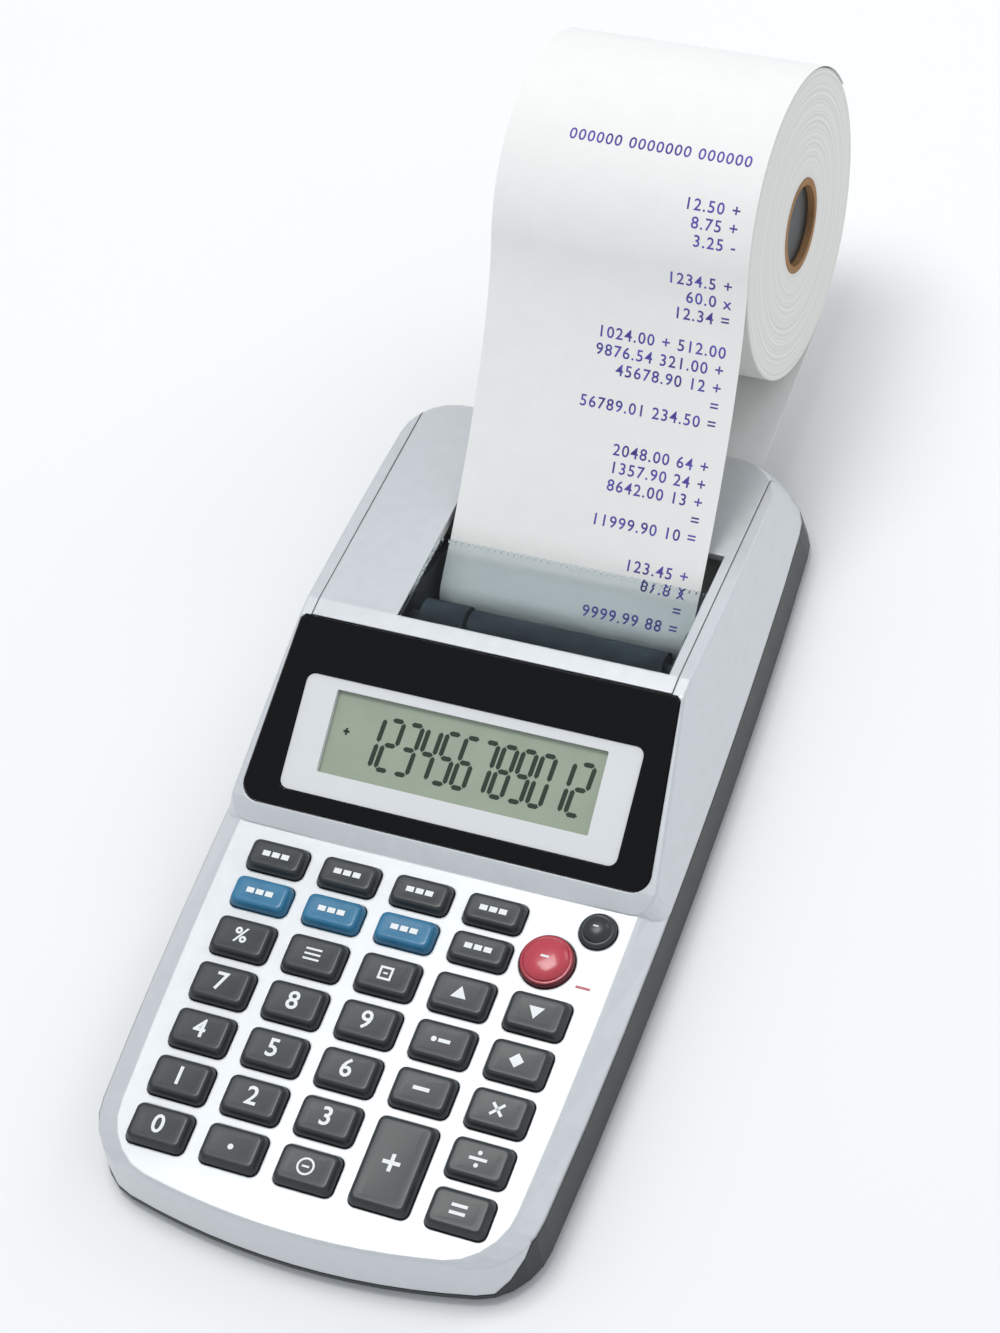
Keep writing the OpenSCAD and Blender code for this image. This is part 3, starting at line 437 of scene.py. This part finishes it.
def square_key(name, w, d, r, mat, x, y):
    """Cap with soft upper edges and a slight dish."""
    rings = [ring_rect(w - less, d - less, r - less_r, z) for less, less_r, z in CAP_STEPS]
    rings.append(ring_rect(w - 5.2, d - 4.2, 0.8, 2.42))
    verts, faces = with_foot(loft(rings), lambda z: ring_rect(w + 2 * FLANGE_OUT, d + 2 * FLANGE_OUT, r, z))
    o = add("cap_" + name, verts, faces, mat, on_deck(x, y, 0), smooth=True)
    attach(o, body_of(name))
    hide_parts(name)
    return o


for name, col, row, kind, sym in KEYS:
    depth = {"std": KEY_D, "tall": KEY_D + PITCH_Y}.get(kind, LOW_KEY_D)
    x = COLS[col]
    y = row_v(row)
    mat = KEY_BLUE if kind == "blue" else KEY
    o = square_key(name, KEY_W, depth, KEY_R, mat, x, y)
    mark(name, legend(sym), x, y, MARK_Z)


def dome_key(name, dia, mats, x, y, legend_shape):
    """Round key: a straight rim round a dome. mats are the dome's and the rim's."""
    r = dia / 2
    rings = [ring_round(r, CAP_FOOT), ring_round(r, 1.0), ring_round(r - 0.12, 1.25),
             ring_round(r - 0.35, 1.4)]
    n = len(rings[0])
    rim_faces = n * (len(rings) - 1)
    dome_low = 1.42
    for k in range(9):
        a = math.radians(90 * k / 8.6)
        rings.append(ring_round(max(0.15, (r - 0.75) * math.cos(a) ** 0.8),
                                dome_low + (DOME_TOP - dome_low) * math.sin(a)))
    cap = loft(rings)
    verts, faces = with_foot(cap, lambda z: ring_round(r + FLANGE_OUT, z))
    count = len(cap[1])
    is_rim = [i < rim_faces or i == count - 2 or i >= count for i in range(len(faces))]
    o = add("cap_" + name, verts, faces, mats, on_deck(x, y, 0), smooth=True,
            face_mats=[int(rim) for rim in is_rim])
    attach(o, body_of(name))
    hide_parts(name)
    mark(name, flat_shapes(legend_shape), x, y, DOME_MARK_Z)
    return o


CLEAR_AT = (2 * PITCH_X - 2.3, row_v(2) + 1.6)
POWER_AT = (2 * PITCH_X + 5.5, row_v(1) + 1.8)
CLEAR_MARK = [box_xy(-0.9, -0.25, 0.9, 0.25)]
POWER_MARK = [box_xy(-0.55, -0.15, 0.55, 0.15)]
dome_key("key_clear", 11.5, [KEY_RED, KEY_RED_RIM], *CLEAR_AT, CLEAR_MARK)
dome_key("key_power", 7.7, [KEY, KEY], *POWER_AT, POWER_MARK)

# Small red dash printed on the deck beside the clear key
v, f = flat_shapes([box_xy(-1.6, -0.3, 1.6, 0.3)])
o = add("deck_dash", v, f, LEGEND_RED, on_deck(39.6, -FRONT_ROW_Y - 31.0, 0.03))
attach(o, "case")

# ------------------------------------------------------------ display figures
FIGURE_PARTS = {"0": "abcdef", "1": "bc", "2": "abged", "3": "abgcd", "4": "fgbc", "5": "afgcd",
                "6": "afgedc", "7": "abc", "8": "abcdefg", "9": "abcdfg"}
SEGMENTS = {  # lies flat or stands, then its start in widths and in half heights
    "a": ("flat", 0, 2), "g": ("flat", 0, 1), "d": ("flat", 0, 0),
    "f": ("up", 0, 1), "e": ("up", 0, 0), "b": ("up", 1, 1), "c": ("up", 1, 0),
}
FIGURE_W = 2.9
FIGURE_H = 10.8
FIGURE_STEP = 4.30
FIGURE_X = -22.9
FIGURE_V = LCD_V + 3.4
STROKE = 1.0
SLANT = 0.10


def segment(kind, x, y, length):
    """Bar with pointed ends that starts at (x, y)."""
    gap = 0.12 * STROKE + 0.06
    half = STROKE / 2
    corners = [(gap, 0), (half + gap, half), (length - half - gap, half), (length - gap, 0),
               (length - half - gap, -half), (half + gap, -half)]
    if kind == "flat":
        return [(x + a, y + b) for a, b in corners]
    return [(x + b, y + a) for a, b in corners]


def seven(figure, x, y):
    """Seven-segment figure leaning to the right."""
    out = []
    for part in FIGURE_PARTS[figure]:
        kind, widths, halves = SEGMENTS[part]
        length = FIGURE_W if kind == "flat" else FIGURE_H / 2
        bar = segment(kind, x + widths * FIGURE_W, y + halves * FIGURE_H / 2, length)
        out.append([(px + (py - y) * SLANT, py) for px, py in bar])
    return out


polys = []
for i, figure in enumerate("123456789012"):
    polys += seven(figure, FIGURE_X + i * FIGURE_STEP, FIGURE_V)
plus_x, plus_v = -26.9, LCD_V + 9.65
polys += [box_xy(plus_x - 0.7, plus_v - 0.25, plus_x + 0.7, plus_v + 0.25),
          box_xy(plus_x - 0.25, plus_v - 0.75, plus_x + 0.25, plus_v + 0.75)]
v, f = flat_shapes(polys)
o = add("lcd_figures", v, f, INK, SLOPE @ Matrix.Translation((0, 0, -1.50 * MM)))
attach(o, "case")

# ------------------------------------------------------------ paper
PAPER_GAP = 0.3  # between the strip and what it runs round
STRIP_HALF = 0.08
PRINT_OFF = 0.11
LEAVE_FEED = 120  # degrees round the feed roller where the strip leaves it
MEET_ROLL = 150  # degrees round the roll where the strip meets it


def bez(a, b, c, d, t):
    return [(1 - t) ** 3 * a[i] + 3 * t * (1 - t) ** 2 * b[i] + 3 * t * t * (1 - t) * c[i] + t ** 3 * d[i]
            for i in (0, 1)]


def on_circle(at, r, deg):
    return [at[0] + r * math.cos(math.radians(deg)), at[1] + r * math.sin(math.radians(deg))]


def tangent(deg):
    """Direction of travel, clockwise, at an angle round a circle."""
    return math.sin(math.radians(deg)), -math.cos(math.radians(deg))


def web_path():
    """The strip's (y, z) points from under the roll to its end, and where it meets the roll."""
    feed_r = FEED_R + PAPER_GAP + PAPER_T / 2
    roll_r = ROLL_R + PAPER_GAP + PAPER_T / 2
    low = ROLL[1] - roll_r
    under, leave = on_circle(FEED, feed_r, 270), on_circle(FEED, feed_r, LEAVE_FEED)
    meet = on_circle(ROLL, roll_r, MEET_ROLL)
    out, back = tangent(LEAVE_FEED), tangent(MEET_ROLL)
    p = [[ROLL[0] + 3, low], [97.5, low - 0.3]]
    p += [bez([91.5, low - 0.4], [69.5, low - 1], [under[0] + 16, under[1]], under, i / 20)
          for i in range(21)]
    p += [on_circle(FEED, feed_r, 270 - (270 - LEAVE_FEED) * k / 24) for k in range(1, 25)]
    pull = [leave[0] + 20 * out[0], leave[1] + 20 * out[1]]
    reach = [meet[0] - 22 * back[0], meet[1] - 22 * back[1]]
    p += [bez(leave, pull, reach, meet, i / 60) for i in range(1, 61)]
    meets_at = len(p) - 1
    p += [on_circle(ROLL, roll_r, MEET_ROLL - 135 * k / 72) for k in range(1, 73)]
    return p, meets_at


def lengths(path):
    """Length along the path at each of its points."""
    s = [0.0]
    for p, q in zip(path, path[1:]):
        s.append(s[-1] + math.dist(p, q))
    return s


PATH, MEETS_AT = web_path()
LENGTHS = lengths(PATH)


def outward(p, q):
    """Unit normal to the line from p to q, on the strip's outer side."""
    length = math.dist(p, q)
    return -(q[1] - p[1]) / length, (q[0] - p[0]) / length


def beside_path(s, off):
    """Point (y, z) at length s along the path, moved off to its outer side."""
    last = len(LENGTHS) - 1
    i = max(1, next((k for k in range(1, last + 1) if LENGTHS[k] >= s), last))
    t = (s - LENGTHS[i - 1]) / (LENGTHS[i] - LENGTHS[i - 1])
    p, q = PATH[i - 1], PATH[i]
    n = outward(p, q)
    return p[0] + (q[0] - p[0]) * t + n[0] * off, p[1] + (q[1] - p[1]) * t + n[1] * off


def strip_mesh(columns=16):
    """Closed sheet along the path: outer side, inner side, two long edges and two ends."""
    verts, faces = [], []
    count = len(PATH)
    row = columns + 1
    for side in (STRIP_HALF, -STRIP_HALF):
        for i, (y, z) in enumerate(PATH):
            n = outward(PATH[max(0, i - 1)], PATH[min(count - 1, i + 1)])
            for k in range(row):
                x = PAPER_X0 + (PAPER_X1 - PAPER_X0) * k / columns
                verts.append((x, y + n[0] * side, z + n[1] * side))
    for i in range(count - 1):
        for k in range(columns):
            a = i * row + k
            faces.append((a, a + 1, a + 1 + row, a + row))
            b = a + count * row
            faces.append((b, b + row, b + 1 + row, b + 1))
    for i in range(count - 1):
        a, b = i * row, (i + count) * row
        faces.append((a, a + row, b + row, b))
        a, b = a + columns, b + columns
        faces.append((a, b, b + row, a + row))
    for k in range(columns):
        a, b = k, count * row + k
        faces.append((a, b, b + 1, a + 1))
        a, b = (count - 1) * row + k, (2 * count - 1) * row + k
        faces.append((a, a + 1, b + 1, b))
    return verts, faces


v, f = strip_mesh()
o = add("paper_strip", v, f, PAPER, smooth=True)
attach(o, "case")
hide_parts("paper_web")

# Printed figures on the strip: each line is [distance from where the strip meets the roll, text]
LINES = [
    (24.5, "000000 0000000 000000"), (14.0, "12.50 +"), (10.3, "8.75 +"), (6.6, "3.25 -"),
    (-2.0, "1234.5 +"), (-5.7, "60.0 x"), (-9.4, "12.34 ="), (-16.2, "1024.00 + 512.00"),
    (-20.0, "9876.54 321.00 +"), (-23.8, "45678.90 12 +"), (-27.6, "="), (-31.4, "56789.01 234.50 ="),
    (-40.5, "2048.00 64 +"), (-44.3, "1357.90 24 +"), (-48.1, "8642.00 13 +"), (-51.9, "="),
    (-55.7, "11999.90 10 ="), (-64.0, "123.45 +"), (-67.8, "67.8 x"), (-71.6, "="), (-75.4, "9999.99 88 ="),
]
PRINT_X = PAPER_X1 - 3.2
verts, faces = [], []
for from_meet, body in LINES:
    tv, tf = text_mesh(body, 3.5, align_x="RIGHT", space=1.15, bold=0.035)
    b = len(verts)
    for x, y, _ in tv:
        py, pz = beside_path(LENGTHS[MEETS_AT] + from_meet + y, PRINT_OFF)
        verts.append((PRINT_X + x, py, pz))
    faces += [tuple(i + b for i in q) for q in tf]
o = add("paper_print", verts, faces, PRINT)
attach(o, "case")


def wound_profile(steps=14):
    """Half section of the wound paper, with every third layer a little in on both faces."""
    wound = ROLL_R - 0.5 - CORE_R
    profile = [(PAPER_X0 + 0.25, ROLL_R), (PAPER_X1 - 0.25, ROLL_R)]
    for k in range(steps + 1):
        inset = 0.10 if k % 3 == 1 else 0.0
        profile.append((PAPER_X1 - inset, ROLL_R - 0.25 - wound * k / steps))
    profile += [(PAPER_X1 - 0.2, CORE_R + 0.02), (PAPER_X0 + 0.2, CORE_R + 0.02)]
    for k in range(steps + 1):
        inset = 0.10 if k % 3 == 1 else 0.0
        profile.append((PAPER_X0 + inset, CORE_R + 0.25 + wound * k / steps))
    return profile


o = lathe_x("wound_paper", wound_profile(), ROLL, roll_face_material(), n=160)
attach(o, "roll")
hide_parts("paper_roll")

# ------------------------------------------------------------ floor, light, camera
me = bpy.data.meshes.new("floor")
me.from_pydata([(x, y, 0) for x, y in box_xy(-6, -6, 6, 6)], [], [(0, 1, 2, 3)])
floor = bpy.data.objects.new("floor", me)
floor.data.materials.append(material("floor", (0.92, 0.92, 0.92), 0.75, bump=0.02, scale=40, vary=0.004,
                                     spec=0.2))
bpy.context.scene.collection.objects.link(floor)

world = bpy.data.worlds.new("studio")
bpy.context.scene.world = world
world.use_nodes = True
world.node_tree.nodes["Background"].inputs["Color"].default_value = (0.88, 0.94, 1.0, 1)
world.node_tree.nodes["Background"].inputs["Strength"].default_value = 0.62


def area(name, at, look, size, power, color=(1, 1, 1)):
    """Square area light at one point, turned to look at another."""
    d = bpy.data.lights.new(name, "AREA")
    d.size = size
    d.energy = power
    d.color = color
    o = bpy.data.objects.new(name, d)
    bpy.context.scene.collection.objects.link(o)
    o.location = at
    o.rotation_euler = (Vector(look) - Vector(at)).to_track_quat("-Z", "Y").to_euler()


area("top", (-0.15, 0.15, 1.2), (0, 0, 0.02), 0.5, 6.9, (1.0, 0.985, 0.96))
area("rim", (0.7, 0.8, 0.7), (0, 0.05, 0.03), 0.5, 1.6)
bpy.context.scene.view_settings.view_transform = "Standard"

CAMERA_AT = Vector((0.23936, -0.28956 - Y_SHIFT * MM, 0.61182))
CAMERA_TURN = Euler([math.radians(a) for a in (32.8425, 10.6203, 20.8090)])
cam = bpy.data.cameras.new("camera")
cam.lens = 91.08
cam.clip_start = 0.01
cam.clip_end = 50
co = bpy.data.objects.new("camera", cam)
bpy.context.scene.collection.objects.link(co)
co.matrix_world = Matrix.Translation(CAMERA_AT) @ CAMERA_TURN.to_matrix().to_4x4()
bpy.context.scene.camera = co
